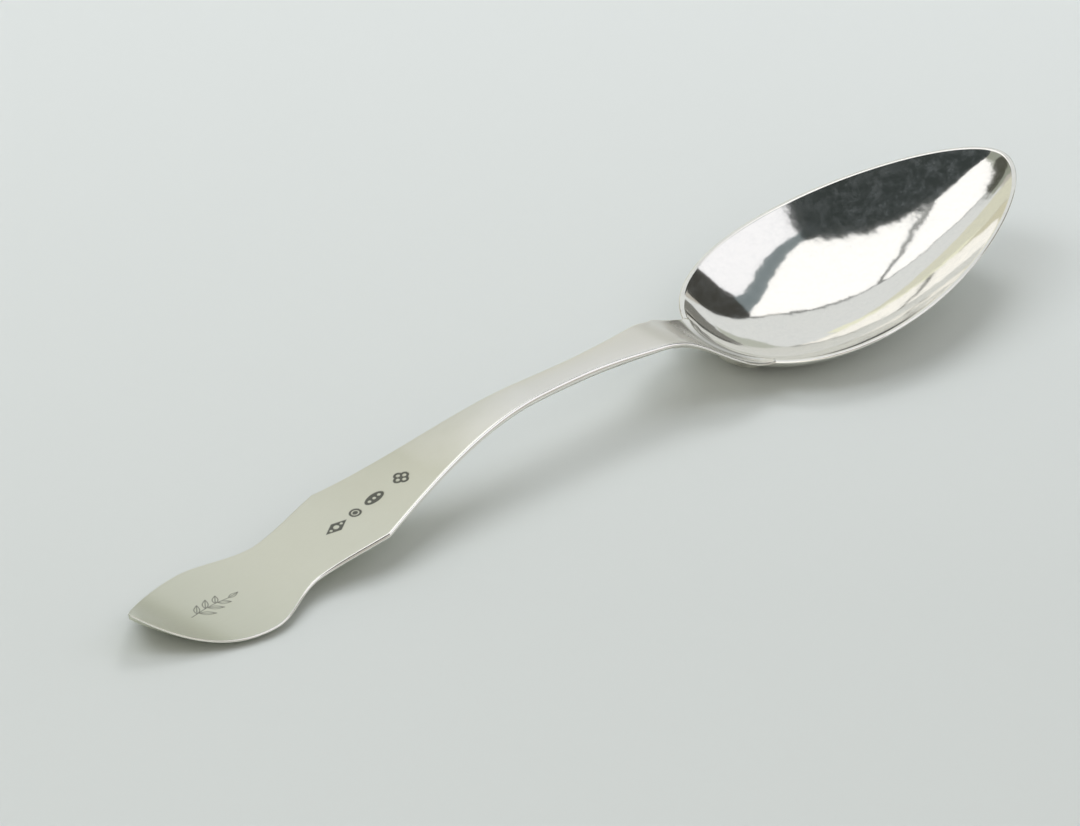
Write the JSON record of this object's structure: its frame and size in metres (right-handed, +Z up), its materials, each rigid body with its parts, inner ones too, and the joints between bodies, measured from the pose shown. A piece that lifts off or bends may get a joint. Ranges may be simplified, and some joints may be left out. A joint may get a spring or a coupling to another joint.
{
  "type": "table spoon",
  "caption": "Silver fiddle pattern table spoon with a pointed oval bowl, an arched narrow stem and a shouldered, lobed handle with an upturned point.",
  "frame": {"origin": "middle of the bounding box, on the table that the spoon lies on", "axes": "+X along the spoon from the handle's point to the bowl's tip, +Z up out of the bowl, Y across"},
  "size_m": [0.22, 0.0472, 0.0195],
  "materials": {
    "polished_silver": "polished silver, mirror-like with faint planishing ripples",
    "satin_silver": "worn satin silver",
    "silver_solder": "polished hard silver solder"
  },
  "bodies": {
    "root": {"bowl": "polished_silver", "handle": "satin_silver", "solder_seam": "silver_solder"}
  },
  "joints": []
}
